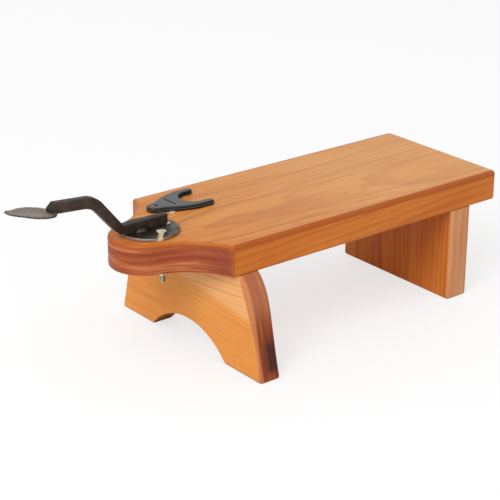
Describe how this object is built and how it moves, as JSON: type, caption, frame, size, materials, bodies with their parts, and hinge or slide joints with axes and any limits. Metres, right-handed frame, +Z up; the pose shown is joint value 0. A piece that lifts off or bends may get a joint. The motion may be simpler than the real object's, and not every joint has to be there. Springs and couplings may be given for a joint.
{
  "type": "bench coconut scraper",
  "caption": "Low wooden stool with a swivelling cranked arm that carries a toothed leaf-shaped coconut scraping blade, and a loose forked blade guard on the seat.",
  "frame": {"origin": "on the floor, below the middle of the whole length from the blade's tip to the rear of the seat", "axes": "+X from the blade towards the rear of the seat, +Y to the far side in the picture, +Z up"},
  "size_m": [0.4922, 0.2098, 0.1701],
  "materials": {
    "board_wood": "oiled, satin",
    "front_leg_wood": "oiled, satin",
    "rear_leg_wood": "oiled, satin",
    "dowel_wood": "raw",
    "hub_wood": "raw",
    "plate_steel": "mottled mill finish",
    "arm_steel": "blackened bar, satin",
    "weld_steel": "rough weld",
    "blade_steel": "satin, filed",
    "yellow_zinc": "yellow zinc plate",
    "bright_zinc": "bright zinc plate",
    "clip_steel": "spring steel",
    "guard_plastic": "gloss"
  },
  "bodies": {
    "stool": {"seat_board": "board_wood", "front_leg": "front_leg_wood", "rear_leg": "rear_leg_wood", "front_leg_dowels": "dowel_wood", "rear_leg_dowels": "dowel_wood"},
    "scraper": {"swivel_plate": "plate_steel", "turntable_hub": "hub_wood", "clamp_plate": "plate_steel", "near_clamp_bolt": "yellow_zinc", "far_clamp_bolt": "yellow_zinc", "flat_washers": "bright_zinc", "spring_washers": "bright_zinc", "near_clamp_nut": "yellow_zinc", "far_clamp_nut": "yellow_zinc", "scraper_arm": "arm_steel", "foot_welds": "weld_steel", "tail_weld": "weld_steel", "grater_blade": "blade_steel", "blade_weld": "weld_steel"},
    "guard": {"blade_guard": "guard_plastic", "guard_clip": "clip_steel"}
  },
  "joints": [
    {"name": "arm_swivel", "type": "hinge", "parent": "stool", "child": "scraper", "pos_m": [-0.1068, 0, 0.12], "axis": [0, 0, 1], "continuous": true},
    {"name": "guard_lift", "type": "slide", "parent": "stool", "child": "guard", "axis": [0, 0, 1], "range_m": [0, 0.1]}
  ]
}
